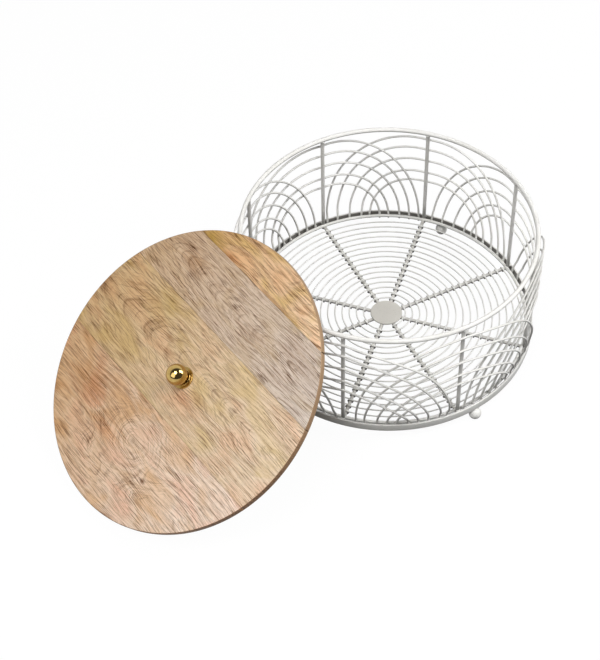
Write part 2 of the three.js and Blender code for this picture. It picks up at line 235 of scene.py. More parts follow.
# Meshes
DOME_INSET = 0.4
DOME_SHOULDER = 0.34
DOME_HEIGHT = 0.45
LUMPS_PER_MM = 0.9
LUMP_HEIGHT = 0.16
SEED_SHIFT = (1.7, 0.9, 0.37)


def skin(bm, rings, closed):
    """Faces between rings that have the same number of vertices."""
    pairs = list(zip(rings, rings[1:]))
    if closed:
        pairs.append((rings[-1], rings[0]))
    for first, second in pairs:
        for i in range(len(first)):
            j = (i + 1) % len(first)
            bm.faces.new((first[i], first[j], second[j], second[i]))


def cap(bm, ring, middle, direction, radius):
    """Closes a wire's end with a low dome."""
    inner = []
    for v in ring:
        rise = direction * radius * DOME_SHOULDER * MM
        inner.append(bm.verts.new(v.co.lerp(middle * MM, DOME_INSET) + rise))
    skin(bm, [ring, inner], False)
    pole = bm.verts.new((middle + direction * radius * DOME_HEIGHT) * MM)
    for i in range(len(inner)):
        bm.faces.new((inner[i], inner[(i + 1) % len(inner)], pole))


def tube(bm, points, radius, sides=10, closed=False, first=UP):
    """A round wire along points, with its sides counted from the direction in first.

    The radius is one number, or a list with one for each point.
    """
    radii = radius if isinstance(radius, list) else [radius] * len(points)
    count = len(points)
    rings = []
    tangents = []
    normal = first.copy()
    for i in range(count):
        before = points[i - 1] if i or closed else points[i]
        after = points[(i + 1) % count] if i < count - 1 or closed else points[i]
        tangent = (after - before).normalized()
        normal = (normal - tangent * normal.dot(tangent)).normalized()
        binormal = tangent.cross(normal)
        ring = []
        for k in range(sides):
            a = 2 * math.pi * k / sides
            offset = normal * math.cos(a) + binormal * math.sin(a)
            ring.append(bm.verts.new((points[i] + offset * radii[i]) * MM))
        rings.append(ring)
        tangents.append(tangent)
    skin(bm, rings, closed)
    if not closed:
        cap(bm, rings[0], points[0], -tangents[0], radii[0])
        cap(bm, rings[-1], points[-1], tangents[-1], radii[-1])


def turned(bm, profile, steps, place=None):
    """A profile of (radius, height) turned round Z. It starts and ends on the axis, or closes."""
    place = place or Matrix()
    on_axis = profile[0][0] == 0
    rings = []
    for radius, height in profile:
        if radius == 0:
            rings.append([bm.verts.new(place @ Vector((0, 0, height)) * MM)])
            continue
        ring = []
        for k in range(steps):
            a = 2 * math.pi * k / steps
            point = Vector((radius * math.sin(a), radius * math.cos(a), height))
            ring.append(bm.verts.new(place @ point * MM))
        rings.append(ring)
    pairs = list(zip(rings, rings[1:]))
    if not on_axis:
        pairs.append((rings[-1], rings[0]))
    for a, b in pairs:
        for i in range(steps):
            j = (i + 1) % steps
            if len(a) == 1:
                bm.faces.new((a[0], b[j], b[i]))
            elif len(b) == 1:
                bm.faces.new((a[i], a[j], b[0]))
            else:
                bm.faces.new((a[i], a[j], b[j], b[i]))


def rounded(corners, easing, steps=4):
    """A profile from corners of (radius, height, eased), where an arc eases those that say so.

    The two ends of a profile that isn't closed can't be eased.
    """
    out = []
    for i, (x, y, eased) in enumerate(corners):
        if not eased:
            out.append((x, y))
            continue
        here = Vector((x, y))
        before = Vector(corners[i - 1][:2])
        after = Vector(corners[(i + 1) % len(corners)][:2])
        start = here + (before - here).normalized() * easing
        end = here + (after - here).normalized() * easing
        for k in range(steps + 1):
            t = k / steps
            point = start * (1 - t) ** 2 + here * 2 * t * (1 - t) + end * t ** 2
            out.append((point.x, point.y))
    return out


def nugget(bm, middle, out, along, radii, seed):
    """A weld bead: an ellipsoid of radii out, along and across, whose lumps the seed picks."""
    across = out.cross(along).normalized()
    along = across.cross(out).normalized()
    basis = Matrix((out, along, across)).transposed().to_4x4()
    sizes = Matrix.Diagonal((*[radius * MM for radius in radii], 1))
    matrix = Matrix.Translation(middle * MM) @ basis @ sizes
    made = bmesh.ops.create_icosphere(bm, subdivisions=2, radius=1, matrix=matrix)
    shift = Vector([seed * part for part in SEED_SHIFT])
    for v in made["verts"]:
        lump = noise.noise(v.co / MM * LUMPS_PER_MM + shift)
        v.co = (middle * MM).lerp(v.co, 1 + LUMP_HEIGHT * lump)


def piece(name, build, material, nodes, body="basket", flat=False):
    """A shown piece: its mesh from build(bm), and the CAD nodes that it stands for.

    flat keeps the shading of its flat faces even up to their eased edges.
    """
    bm = bmesh.new()
    build(bm)
    if body == "lid":
        bmesh.ops.transform(bm, matrix=lid_pose, verts=bm.verts)
    bmesh.ops.recalc_face_normals(bm, faces=bm.faces)
    for face in bm.faces:
        face.smooth = True
    mesh = bpy.data.meshes.new(name)
    bm.to_mesh(mesh)
    bm.free()
    mesh.materials.append(material)
    made = bpy.data.objects.new(name, mesh)
    bpy.context.scene.collection.objects.link(made)
    if flat:
        weigh = made.modifiers.new("flat_faces", "WEIGHTED_NORMAL")
        weigh.keep_sharp = True
        weigh.weight = 100
    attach(made, body)
    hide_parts(*nodes)


# Materials
WHITE = (1, 1, 1, 1)


def srgb(text):
    """A colour written as an sRGB hex string, as linear red, green, blue and alpha."""
    out = []
    for i in (0, 2, 4):
        c = int(text[i:i + 2], 16) / 255
        out.append(c / 12.92 if c <= 0.04045 else ((c + 0.055) / 1.055) ** 2.4)
    return (*out, 1.0)


class Nodes:
    """Short calls that build the nodes of one tree."""

    def __init__(self, tree):
        self.tree = tree

    def node(self, kind, **settings):
        made = self.tree.nodes.new(kind)
        for key, value in settings.items():
            setattr(made, key, value)
        return made

    def feed(self, socket, value):
        if isinstance(value, bpy.types.NodeSocket):
            self.tree.links.new(value, socket)
        else:
            socket.default_value = value

    def math(self, operation, a, b=0.0, c=None, clamp=False):
        made = self.node("ShaderNodeMath", operation=operation, use_clamp=clamp)
        self.feed(made.inputs[0], a)
        self.feed(made.inputs[1], b)
        if c is not None:
            self.feed(made.inputs[2], c)
        return made.outputs[0]

    def length(self, a, b):
        """The length of a line that runs a along one axis and b along another."""
        square = self.math("ADD", self.math("MULTIPLY", a, a), self.math("MULTIPLY", b, b))
        return self.math("SQRT", square)

    def span(self, value, low, high, to_low=0.0, to_high=1.0, kind="LINEAR"):
        made = self.node("ShaderNodeMapRange", interpolation_type=kind)
        self.feed(made.inputs["Value"], value)
        made.inputs["From Min"].default_value = low
        made.inputs["From Max"].default_value = high
        made.inputs["To Min"].default_value = to_low
        made.inputs["To Max"].default_value = to_high
        return made.outputs["Result"]

    def swing(self, value, reach):
        """A noise of 0 to 1, as a shift of up to reach to either side."""
        return self.span(value, 0, 1, -reach, reach)

    def blend(self, share, first, second, kind="MIX"):
        made = self.node("ShaderNodeMix", data_type="RGBA", blend_type=kind)
        made.clamp_factor = True
        self.feed(made.inputs[0], share)
        self.feed(made.inputs[6], first)
        self.feed(made.inputs[7], second)
        return made.outputs[2]

    def glaze(self, colour, hue, share, strength=1.0, kind="MIX"):
        """Lays a hue, written as a hex string, over a colour by a share times a strength."""
        return self.blend(self.math("MULTIPLY", share, strength), colour, srgb(hue), kind)

    def ramp(self, factor, stops):
        """A colour ramp through stops of (place, hex string)."""
        made = self.node("ShaderNodeValToRGB")
        elements = made.color_ramp.elements
        while len(elements) < len(stops):
            elements.new(0.5)
        for element, (place, hue) in zip(elements, stops):
            element.position = place
            element.color = srgb(hue)
        self.feed(made.inputs[0], factor)
        return made.outputs["Color"]

    def cover(self, output, share, under, over):
        """Mixes two shaders by a share into the tree's output node."""
        made = self.node("ShaderNodeMixShader")
        self.feed(made.inputs[0], share)
        self.feed(made.inputs[1], under)
        self.feed(made.inputs[2], over)
        self.feed(self.tree.nodes[output].inputs["Surface"], made.outputs[0])


class Shader(Nodes):
    """The nodes of one material. A place is in millimetres, in the lid's own frame or not."""

    def __init__(self, name):
        self.material = bpy.data.materials.new(name)
        self.material.use_nodes = True
        super().__init__(self.material.node_tree)
        self.bsdf = self.tree.nodes["Principled BSDF"]

    def places(self, scale, lid=False):
        """Places on a piece, over a length for each axis."""
        coords = self.node("ShaderNodeTexCoord")
        made = self.node("ShaderNodeMapping", vector_type="TEXTURE")
        made.inputs["Scale"].default_value = [s * MM for s in scale]
        if lid:
            made.inputs["Location"].default_value = lid_origin * MM
            made.inputs["Rotation"].default_value = lid_turn.to_euler()
        self.tree.links.new(coords.outputs["Object"], made.inputs["Vector"])
        return made.outputs["Vector"]

    def axes(self, lid=False):
        """A place's three coordinates."""
        split = self.node("ShaderNodeSeparateXYZ")
        self.feed(split.inputs[0], self.places((1, 1, 1), lid))
        return split.outputs

    def noise(self, vector, detail=3.0, roughness=0.5, distortion=0.0):
        made = self.node("ShaderNodeTexNoise")
        self.feed(made.inputs["Vector"], vector)
        made.inputs["Scale"].default_value = 1.0
        made.inputs["Detail"].default_value = detail
        made.inputs["Roughness"].default_value = roughness
        made.inputs["Distortion"].default_value = distortion
        return made.outputs["Fac"]

    def bump(self, height, distance, strength=1.0):
        made = self.node("ShaderNodeBump")
        made.inputs["Distance"].default_value = distance * MM
        made.inputs["Strength"].default_value = strength
        self.feed(made.inputs["Height"], height)
        self.tree.links.new(made.outputs["Normal"], self.bsdf.inputs["Normal"])

    def set(self, **values):
        for key, value in values.items():
            self.feed(self.bsdf.inputs[key.replace("_", " ")], value)


# Paint: its tones, and the sizes of its noises in millimetres
PAINT_LIGHT = "e6e5e2"
PAINT_DARK = "dfded9"
PAINT_THIN = "918e88"
# The next three tones are painted shade: on faces that look down, in a slot, and on hidden wire
PAINT_UNDERSIDE_SHADE = "5a5752"
PAINT_SLOT_SHADE = "6d6a65"
PAINT_SHADE = "4a4743"
PAINT_ROUGHNESS = 0.46
PAINT_SLANTS = (0.12, -0.42)
PAINT_DRIFT_SIZE = (38, 38, 38)
PAINT_MOTTLE_SIZE = (1.6, 1.6, 1.6)
PAINT_SKIN_SIZE = (0.7, 0.7, 0.7)
PAINT_SKIN_HEIGHT = 0.03


def painted(
    name, light=PAINT_LIGHT, dark=PAINT_DARK, roughness=PAINT_ROUGHNESS,
    slants=PAINT_SLANTS, under=PAINT_UNDERSIDE_SHADE, slot=None, shade=None,
):
    """Satin paint over wire: a faint drift from light to dark, thin spots and a fine skin.

    Faces that look down get painted shade, in the tone under. slants says where that starts and
    where it is full, as the upward part of a face's normal. slot is a radius and a level: the
    faces of a narrow slot between two hoops get painted shade there. Below the level shade, where
    a wire lies hidden against another one, it gets painted shade as well.
    """
    s = Shader(name)
    drift = s.noise(s.places(PAINT_DRIFT_SIZE), detail=2)
    mottle = s.noise(s.places(PAINT_MOTTLE_SIZE), detail=4, roughness=0.6)
    tone = s.blend(s.span(drift, 0.35, 0.65), srgb(light), srgb(dark))
    facing = s.node("ShaderNodeNewGeometry")
    split = s.node("ShaderNodeSeparateXYZ")
    s.feed(split.inputs[0], facing.outputs["Normal"])
    # Painted shade on faces that look down
    tone = s.glaze(tone, under, s.span(split.outputs[2], *slants), 0.8)
    tone = s.glaze(tone, PAINT_THIN, s.span(mottle, 0.58, 0.78), 0.4)
    # Painted shade deep in the slot between two hoops
    if slot:
        radius, level = slot
        x, y, z = s.axes()
        across = s.math("SUBTRACT", x, rim_middle.x)
        along = s.math("SUBTRACT", y, rim_middle.y)
        deep = s.span(s.length(across, along), radius + 1.0, radius + 0.5)
        tone = s.glaze(tone, PAINT_SLOT_SHADE, deep, s.span(z, level, level - 1.2))
    # Painted shade below the level where the wire lies hidden
    if shade is not None:
        z = s.axes()[2]
        tone = s.glaze(tone, PAINT_SHADE, s.span(z, shade, shade - 1.1))
    s.set(Base_Color=tone)
    s.set(Roughness=s.span(mottle, 0.3, 0.7, roughness - 0.06, roughness + 0.1))
    s.bsdf.inputs["Specular IOR Level"].default_value = 0.25
    s.bump(s.noise(s.places(PAINT_SKIN_SIZE), detail=2), PAINT_SKIN_HEIGHT)
    return s.material


# Metal: sizes of its clouds of tarnish and of its fine marks, which have their own length along
# the knob's axis
TARNISH_SIZE = (7, 7, 7)
MARK_WIDTH = 0.4
MARK_HEIGHT = 0.004


def metal(name, colour, tarnish, roughness, mark_length):
    s = Shader(name)
    cloud = s.noise(s.places(TARNISH_SIZE, lid=True), detail=4)
    marks = s.noise(s.places((MARK_WIDTH, MARK_WIDTH, mark_length), lid=True), detail=2)
    s.set(Base_Color=s.blend(s.span(cloud, 0.45, 0.75), srgb(colour), srgb(tarnish)))
    s.set(Roughness=s.span(cloud, 0.3, 0.8, roughness, roughness * 1.9))
    s.bsdf.inputs["Metallic"].default_value = 1.0
    s.bump(marks, MARK_HEIGHT)
    return s.material


# Wood: sizes of its noises along the board, across it and through it, in millimetres
WANDER_SIZE = (150, 44, 44)
WOBBLE_SIZE = (46, 15, 15)
MARKED_SIZE = (60, 26, 26)
TINT_SIZE = (60, 30, 30)
GRIT_SIZE = (2.6, 1.4, 1.4)
END_GRAIN_SIZE = (2.2, 0.8, 5)
STREAK_LENGTH = 85

# How far rings and straight lines wander, in millimetres, and how strongly marks show
RING_WANDER = 16
LINE_WANDER = 9
LINE_BEND = 0.6
KNOT_WIDTH = 1.25
KNOT_WOBBLE = 6
RING_CONTRAST = 0.16
GRIT_CONTRAST = 0.13
PATCH_FRAY = 0.9
RINGED_LINES = 0.36
STRAIGHT_LINES = 0.8
PORE_STRENGTH = 0.3
HEART_STRENGTH = 0.35

# Tones that go over the boards' own
STREAK_TONES = [(0.2, "cabbad"), (0.4, "eee8e1"), (0.55, "ffffff")]
END_GRAIN_TONES = [(0.35, "5f4128"), (0.65, "96704c")]
END_GRAIN_HIGHLIGHT = "a28464"
LINE_TONE = "7f6650"
PORE_TONE = "5e4129"
HEART_TONE = "7a5638"

# Where a board's near tone ends and its far tone starts, and where the end grain turns paler.
# The far tone is paler partly by the wood itself and partly as a painted sheen; the paler end
# grain uphill is painted light
BOARD_ENDS = (-120, 135)
END_GRAIN_HIGHLIGHT_FROM = (0, 110)


class Board(Shader):
    """Wood sawn along X in the lid's own frame, with the growth rings that run through it."""

    def __init__(self, name, figure, ring, bend, knot):
        super().__init__(name)
        self.x, self.y, self.z = self.axes(lid=True)
        self.wander = self.noise(self.places(WANDER_SIZE, lid=True), detail=2)
        self.wobble = self.noise(self.places(WOBBLE_SIZE, lid=True), detail=2)
        self.marked = self.noise(self.places(MARKED_SIZE, lid=True), detail=1)
        middle, height, slope = figure
        self.side = self.waved(self.math("SUBTRACT", self.y, middle), RING_WANDER, bend)
        self.calm = self.waved(self.y, LINE_WANDER, LINE_BEND * bend)
        rise = self.math("SUBTRACT", self.math("MULTIPLY_ADD", self.x, slope, height), self.z)
        self.field = self.length(self.side, rise)
        if knot:
            self.bend_round(*knot)
        phase = self.math("FRACT", self.math("DIVIDE", self.field, ring))
        rising = self.span(phase, 0.45, 0.92)
        self.late = self.math("MULTIPLY", rising, self.span(phase, 1.0, 0.95))

    def waved(self, across, wander, bend):
        """A place across the board, shifted by slow and quick waves."""
        slow = self.math("ADD", across, self.swing(self.wander, wander))
        return self.math("ADD", slow, self.swing(self.wobble, bend))

    def spread(self, cx, cy, wide, high):
        """Distance from (cx, cy) as a share of a half-length and a half-width."""
        across = self.math("DIVIDE", self.math("SUBTRACT", self.x, cx), wide)
        along = self.math("DIVIDE", self.math("SUBTRACT", self.y, cy), high)
        return self.length(across, along)

    def bend_round(self, cx, cy, reach):
        """Turns the distance from the pith into that from the knot, near the knot."""
        around_knot = self.spread(cx, cy, KNOT_WIDTH, 1.0)
        away = self.math("ADD", around_knot, self.swing(self.wobble, KNOT_WOBBLE))
        near = self.span(away, reach, reach * 0.4, kind="SMOOTHSTEP")
        plain = self.math("MULTIPLY", self.field, self.math("SUBTRACT", 1.0, near))
        self.field = self.math("MULTIPLY_ADD", away, near, plain)
        self.heart = self.span(away, reach * 0.07, reach * 0.02)

    def grain(self, across, length, width, detail, roughness):
        """Noise drawn out along the board: across runs over the rings or the board."""
        made = self.node("ShaderNodeCombineXYZ")
        self.feed(made.inputs[0], self.math("DIVIDE", self.x, length))
        self.feed(made.inputs[1], self.math("DIVIDE", across, width))
        self.feed(made.inputs[2], self.math("DIVIDE", self.z, width * 2))
        return self.noise(made.outputs[0], detail=detail, roughness=roughness)

    def tone(self, near, far, streaks, strength):
        """From one end's tone to the other's, streaked, ringed and gritty."""
        grit = self.noise(self.places(GRIT_SIZE, lid=True), detail=2, roughness=0.7)
        fade = self.span(self.marked, 0.35, 0.65, 0.25, 1.0)
        rings = self.math("MULTIPLY", self.math("MULTIPLY", self.late, fade), RING_CONTRAST)
        value = self.math("MULTIPLY_ADD", self.math("SUBTRACT", streaks, 0.5), strength, 0.5)
        value = self.math("SUBTRACT", value, rings)
        value = self.math("ADD", value, self.swing(grit, GRIT_CONTRAST))
        # Paler towards the far end: partly the wood's own tone, partly a painted sheen
        plain = self.blend(self.span(self.x, *BOARD_ENDS), srgb(near), srgb(far))
        return self.blend(1.0, plain, self.ramp(value, STREAK_TONES), "MULTIPLY")

    def tinted(self, colour, tints, patches, streaks):
        """Slow clouds of two hues, and patches with edges that the streaks fray."""
        drift = self.noise(self.places(TINT_SIZE, lid=True), detail=2, distortion=0.6)
        for hue, full in zip(tints, (0.34, 0.66)):
            colour = self.glaze(colour, hue, self.span(drift, 0.5, full), kind="MULTIPLY")
        for cx, cy, wide, high, hue, strength in patches:
            edge = self.spread(cx, cy, wide, high)
            edge = self.math("ADD", edge, self.swing(streaks, PATCH_FRAY))
            share = self.span(edge, 1.1, 0.1)
            colour = self.glaze(colour, hue, share, strength, "MULTIPLY")
        return colour

    def lines(self):
        """Fine dark lines, which follow the rings or run straight."""
        ringed = self.grain(self.field, length=20, width=0.95, detail=2, roughness=0.55)
        straight = self.grain(self.calm, length=27, width=0.9, detail=2, roughness=0.6)
        straight = self.math("MULTIPLY", self.span(straight, 0.475, 0.4), STRAIGHT_LINES)
        both = self.math("MULTIPLY_ADD", self.span(ringed, 0.46, 0.39), RINGED_LINES, straight)
        return self.math("MULTIPLY", both, self.span(self.marked, 0.3, 0.7, 0.65, 1.1))

    def pores(self, density):
        """Short open pores, closer together in late wood and where the grain is marked."""
        cells = self.grain(self.calm, length=8.5, width=0.7, detail=1, roughness=0.4)
        crowd = self.math("MULTIPLY_ADD", self.late, 0.06, density)
        crowd = self.math("MULTIPLY_ADD", self.span(self.marked, 0.3, 0.7), 0.03, crowd)
        limit = self.math("SUBTRACT", 0.7, crowd)
        return self.math("MULTIPLY", self.math("SUBTRACT", cells, limit), 16.0, clamp=True)

    def end_grain(self, colour):
        """The board's round edge, darker than its faces by stain, paler uphill by painted light.
        """
        edge = self.span(self.spread(0, 0, 1, 1), LID_RADIUS - 0.85, LID_RADIUS - 0.35)
        ends = self.noise(self.places(END_GRAIN_SIZE, lid=True), detail=3, roughness=0.6)
        tone = self.ramp(ends, END_GRAIN_TONES)
        # Painted light: the end grain turns paler towards the uphill side
        tone = self.glaze(tone, END_GRAIN_HIGHLIGHT, self.span(self.y, *END_GRAIN_HIGHLIGHT_FROM))
        return self.blend(edge, colour, tone)


def wood(name, near, far, tints, ring, streak, hair, bend, density, figure, patches, knot=None):
    """One board of the lid.

    near and far are its tones at the two ends, the far one paler partly by the wood itself and
    partly as a painted sheen, and tints the hues of its slow clouds. ring is the width of one
    growth ring, streak the width and strength of its streaks, hair the strength of its fine dark
    lines, bend how far they wave, and density how thick its pores stand. figure is (middle y,
    height over the pith, slope), which sets the flame of the rings. A patch is (x, y, half-length,
    half-width, hue, strength), and knot is (x, y, reach).
    """
    s = Board(name, figure, ring, bend, knot)
    width, strength = streak
    streaks = s.grain(s.side, STREAK_LENGTH, width, detail=4, roughness=0.6)
    colour = s.tone(near, far, streaks, strength)
    colour = s.tinted(colour, tints, patches, streaks)
    lines = s.lines()
    pores = s.pores(density)
    colour = s.glaze(colour, LINE_TONE, lines, hair, "MULTIPLY")
    colour = s.glaze(colour, PORE_TONE, pores, PORE_STRENGTH)
    if knot:
        colour = s.glaze(colour, HEART_TONE, s.heart, HEART_STRENGTH)
    s.set(Base_Color=s.end_grain(colour))
    s.set(Roughness=s.span(lines, 0.0, 1.0, 0.5, 0.66))
    s.bsdf.inputs["Specular IOR Level"].default_value = 0.3
    relief = s.math("ADD", s.math("MULTIPLY", lines, 0.3), pores)
    s.bump(s.math("SUBTRACT", 1.0, relief), 0.1, 0.6)
    return s.material


# Every paint here darkens the faces that look down, as painted shade
paint = painted("satin_paint")
# The band carries painted shade on its inner face, in the slot above the ring
band_paint = painted("band_paint", slot=(BAND_INNER, BAND_TOP + 0.8))
# The spokes are painted a little darker, and dark along their sides, as painted shade
spoke_paint = painted(
    "spoke_paint", "d2d0cb", "c6c4be", 0.5, slants=(0.65, 0.0), under="45423e",
)
# The base wire carries painted shade below its top, where it is wound round the spokes
winding_paint = painted("winding_paint", slants=(0.4, -0.25), shade=BASE_LEVEL + 1.6)
disc_paint = painted("disc_paint", "cac7c0", "c2bfb8", 0.5)
brass = metal("polished_brass", "c4a767", "a5864a", 0.07, mark_length=0.4)
zinc = metal("zinc_plate", "b9bbb8", "a5a69f", 0.32, mark_length=3)
woods = [
    wood(
        "wood_orange", near="cfa673", far="f6d9b8", tints=["f0edc6", "fff2ea"],
        ring=5.5, streak=(2.6, 1.9), hair=0.85, bend=1.2, density=0.03, figure=(150, 40, 0.1),
        patches=[(-85, 117, 26, 12, "e4e6b0", 0.7), (-52, 119, 24, 5, "d4b088", 0.55)],
    ),
    wood(
        "wood_grey", near="d1b595", far="dccfc3", tints=["f0e9da", "f2eeec"],
        ring=4.2, streak=(2.0, 0.6), hair=0.9, bend=2.6, density=0.04, figure=(84, 16, -0.1),
        patches=[(-80, 88, 26, 12, "dcc1a4", 0.55), (32, 80, 26, 9, "e0d2c0", 0.6)],
    ),
    wood(
        "wood_yellow", near="d0b287", far="ead4b9", tints=["f6f3dc", "fff4f0"],
        ring=6.5, streak=(2.8, 0.8), hair=0.78, bend=1.4, density=0.03, figure=(12, 25.5, -0.17),
        patches=[
            (-75, 32, 34, 20, "e9e8c6", 0.6), (-43, 18, 7, 4, "b08e68", 0.7),
            (22, -12, 26, 12, "f2d4c2", 0.5),
        ],
    ),
    wood(
        "wood_pink", near="d6b28a", far="f4e0ce", tints=["f2e2cc", "fff0ec"],
        ring=5.8, streak=(2.6, 0.7), hair=0.85, bend=1.6, density=0.03, figure=(-105, 14, 0.08),
        patches=[
            (-80, -72, 34, 24, "e0c6a6", 0.75), (-28, -92, 26, 12, "f2caa0", 0.6),
            (45, -97, 4, 3, "8a6440", 0.9),
        ],
        knot=(5, -78, 56),
    ),
]


# Basket
def post_azimuth(number):
    return FIRST_POST + STEP * number + POST_TURNS[number % POSTS]


def arch_span(number, arch, before):
    """How far an arch reaches to one side of its post, as a share of the bay."""
    if number in EXTRA_DROPS:
        return (FRONT_SPANS_BEFORE if before else FRONT_SPANS_AFTER)[arch]
    return (SPANS_BEFORE if before else SPANS_AFTER)[arch]


def arch_height(number, arch, share):
    front = number in EXTRA_DROPS
    drop = ARCH_DROPS[arch] + (EXTRA_DROPS[number][arch] if front else 0)
    power = FRONT_TOP_ROUNDNESS if front and arch == 0 else ROUNDNESS
    round_share = (1 - min(abs(share), 1.0) ** power) ** (1 / power)
    return LEG_END + (RIM_HEIGHT - drop - LEG_END) * round_share


def arch_offset(bay, place, rise, over):
    """How far a wire stands off the wall of crowns, at a place between the bay's two posts."""
    swell, swell_height, early, late, bow, bow_height, spread = BENT_BAYS.get(bay, PLAIN_BAY)
    peak = early / (early + late)
    bulge = (place / peak) ** early * ((1 - place) / (1 - peak)) ** late
    out = swell * bulge * smooth(rise / swell_height)
    if not over:
        return out - LAP_STEP * place ** 2
    out += LAP_STEP * (1 - place ** 2)
    return out + bow * smooth((1 - place) / spread) * smooth(rise / bow_height)


def arch_point(number, arch, share):
    number = number % POSTS
    over = share <= 0
    bay = share * arch_span(number, arch, over)
    height = arch_height(number, arch, share)
    place = 1 + bay if over else bay
    rise = height - BAND_TOP
    wall = ARCH_RADIUS + arch_offset((number - over) % POSTS, place, rise, over)
    distance = mix(OUTER_LEG if over else INNER_LEG, wall, smooth((rise - 0.3) / LEG_BLEND_HEIGHT))
    return around(post_azimuth(number) + bay * STEP, distance, height)


def crossings(number):
    """Where the second half of each arch meets the first half of the next fan's arches."""
    out = []
    following = (number + 1) % POSTS
    for i in range(len(ARCH_DROPS)):
        reach = arch_span(number, i, False)
        for j in range(len(ARCH_DROPS)):
            other = arch_span(following, j, True)
            low, high = 1 - other, reach
            if low >= high:
                continue

            def difference(bay):
                first = arch_height(number, i, bay / reach)
                return first - arch_height(following, j, (1 - bay) / other)

            if difference(low) < 0 or difference(high) > 0:
                continue
            for _ in range(BISECTIONS):
                middle = (low + high) / 2
                if difference(middle) > 0:
                    low = middle
                else:
                    high = middle
            inner = arch_point(number, i, low / reach)
            outer = arch_point(following, j, (low - 1) / other)
            out.append((inner, outer))
    return out


def build_hoop(bm, distance, height, radius, sides):
    """A closed ring of round rod around the basket's axis."""
    points = [around(360 * i / HOOP_STEPS, distance, height) for i in range(HOOP_STEPS)]
    tube(bm, points, radius, sides=sides, closed=True)


def build_rim(bm):
    build_hoop(bm, RIM_RADIUS, RIM_HEIGHT, RIM_ROD, sides=18)


def build_ring(bm):
    build_hoop(bm, RING_RADIUS, RING_LEVEL, RING_ROD, sides=14)


def build_band(bm):
    corners = [
        (BAND_INNER, BAND_BOTTOM, True), (BAND_OUTER, BAND_BOTTOM, True),
        (BAND_OUTER, BAND_TOP, True), (BAND_INNER, BAND_TOP, True),
    ]
    turned(bm, rounded(corners, BAND_EASING), steps=HOOP_STEPS, place=basket_place)


def build_post(bm, number):
    azimuth = post_azimuth(number)
    out = outward(azimuth)
    side = out.cross(UP)
    top = RIM_HEIGHT - RIM_ROD + POST_IN_RIM
    levels = [BAND_BOTTOM + 0.3, BAND_BOTTOM + 30, RIM_HEIGHT / 2, top - 8]
    radii = [POST_ROD] * len(levels)
    for below, flare in POST_FLARE:
        levels.append(top - below)
        radii.append(POST_ROD * flare)
    points = [around(azimuth, RIM_RADIUS, level) for level in levels]
    tube(bm, points, radii, sides=16, first=out)
    welds = [
        (RIM_RADIUS, top + 0.1, POST_TOP_WELD, number),
        (BAND_INNER - 0.4, BAND_TOP - 0.8, POST_BAND_WELD, number + 9),
        (RING_RADIUS + RING_ROD, BASE_LEVEL, POST_RING_WELD, number + 17),
    ]
    for distance, height, radii, seed in welds:
        nugget(bm, around(azimuth, distance, height), out, side, radii, seed)


def build_arch(bm, number, arch):
    """One arch, with its welds to the post and to the ring or the band."""
    azimuth = post_azimuth(number)
    out = outward(azimuth)
    side = out.cross(UP)
    points = []
    for i in range(ARCH_STEPS + 1):
        share = math.sin(math.pi * (i / ARCH_STEPS - 0.5))
        points.append(arch_point(number, arch, share))
    tube(bm, points, ARCH_WIRE, first=out)
    crown = arch_point(number, arch, 0)
    for turn in (-1, 1):
        spot = crown - out * CROWN_WELD_INWARDS + side * turn * CROWN_WELD_ASIDE
        nugget(bm, spot, out, side, CROWN_WELD, number * 11 + arch * 2 + turn)
    for end in (-1, 1):
        leg = arch_point(number, arch, end)
        leg.z = BAND_TOP - LEG_WELD_BELOW
        turn = end * arch_span(number, arch, end < 0) * STEP
        spot = leg + outward(azimuth + turn) * LEG_WELD_OUTWARDS[end]
        nugget(bm, spot, out, side, LEG_WELD, number * 13 + arch + end)


def build_fan(bm, number):
    """A post and its five arches, with the welds to the arches of the next fan."""
    build_post(bm, number)
    for arch in range(len(ARCH_DROPS)):
        build_arch(bm, number, arch)
    for k, (inner, outer) in enumerate(crossings(number)):
        between = outer - inner
        if between.length < 2 * ARCH_WIRE + CROSSING_GAP:
            spot = (inner + outer) / 2
            nugget(bm, spot, between.normalized(), UP, CROSSING_WELD, number * 29 + k)


def build_spoke(bm, number):
    azimuth = post_azimuth(number)
    inner = around(azimuth, SPOKE_INNER, BASE_LEVEL)
    outer = around(azimuth, RING_RADIUS - SPOKE_SHORT_OF_RING, BASE_LEVEL)
    steps = 12
    points = [inner.lerp(outer, i / steps) for i in range(steps + 1)]
    tube(bm, points, SPOKE_ROD, sides=14)
    end = around(azimuth, RING_RADIUS - RING_ROD, BASE_LEVEL)
    nugget(bm, end, outward(azimuth), UP, SPOKE_WELD, number + 3)


def spiral_points():
    """The base wire: level over the spokes, and wound once round each one that it meets."""
    wrap = SPOKE_ROD + SPIRAL_WIRE - WRAP_BITE
    beside = SPIRAL_WIRE * WRAP_SPREAD
    fall = SPIRAL_PITCH / POSTS
    points = []
    for bay in range(SPIRAL_BAYS + 1):
        number = SPIRAL_FIRST_POST + bay
        azimuth = post_azimuth(number)
        radius = SPIRAL_OUTER - fall * bay
        onward = UP.cross(outward(azimuth)) * -1
        for i in range(WRAP_STEPS + 1):
            a = 2 * math.pi * i / WRAP_STEPS
            middle = around(azimuth, radius + beside * (1 - 2 * i / WRAP_STEPS), BASE_LEVEL)
            points.append(middle + onward * wrap * math.sin(a) + UP * wrap * math.cos(a))
        if bay == SPIRAL_BAYS:
            break
        later = post_azimuth(number + 1)
        start = radius - beside
        end = radius - fall + beside
        for i in range(1, BAY_STEPS):
            share = i / BAY_STEPS
            level = BASE_LEVEL + wrap - BAY_SAG * math.sin(math.pi * share)
            points.append(around(mix(azimuth, later, share), mix(start, end, share), level))
    return points


def build_spiral(bm):
    tube(bm, spiral_points(), SPIRAL_WIRE, sides=8)


